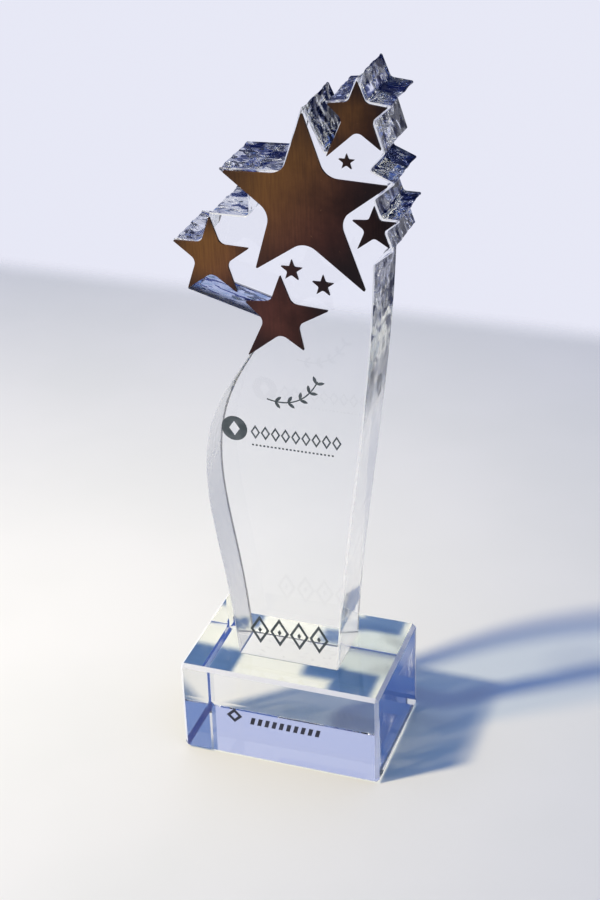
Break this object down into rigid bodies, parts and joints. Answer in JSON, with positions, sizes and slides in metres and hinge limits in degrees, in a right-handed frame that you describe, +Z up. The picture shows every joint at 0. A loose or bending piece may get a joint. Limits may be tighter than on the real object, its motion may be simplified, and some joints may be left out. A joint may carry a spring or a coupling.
{
  "type": "star trophy",
  "caption": "Clear crystal award: a curved slab whose top is cut round bronze stars, bonded upright on a bevelled crystal block.",
  "frame": {"origin": "centre of the crystal block's underside, on the surface it stands on", "axes": "+X to the award's right as seen from the front, +Y from the front to the back, +Z up"},
  "size_m": [0.0795, 0.0501, 0.2567],
  "materials": {
    "crystal_block": "polished optical crystal",
    "crystal_slab": "polished optical crystal with hand-ground edges",
    "bond_film": "clear cured adhesive",
    "bronze_star": "dark bronze, satin, finely brushed",
    "slab_enamel": "dark green-grey printed enamel",
    "block_enamel": "near-black printed enamel"
  },
  "bodies": {
    "root": {"crystal_base": "crystal_block", "crystal_tower": "crystal_slab", "tower_bond": "bond_film", "star_adhesive": "bond_film", "star_large": "bronze_star", "star_top": "bronze_star", "star_left": "bronze_star", "star_bottom": "bronze_star", "star_right": "bronze_star", "star_tiny_upper": "bronze_star", "star_tiny_left": "bronze_star", "star_tiny_right": "bronze_star", "print_sprig": "slab_enamel", "print_emblem": "slab_enamel", "print_band": "slab_enamel", "print_fine_rule": "slab_enamel", "print_lattice": "slab_enamel", "base_print_mark": "block_enamel", "base_print_band": "block_enamel"}
  },
  "joints": []
}
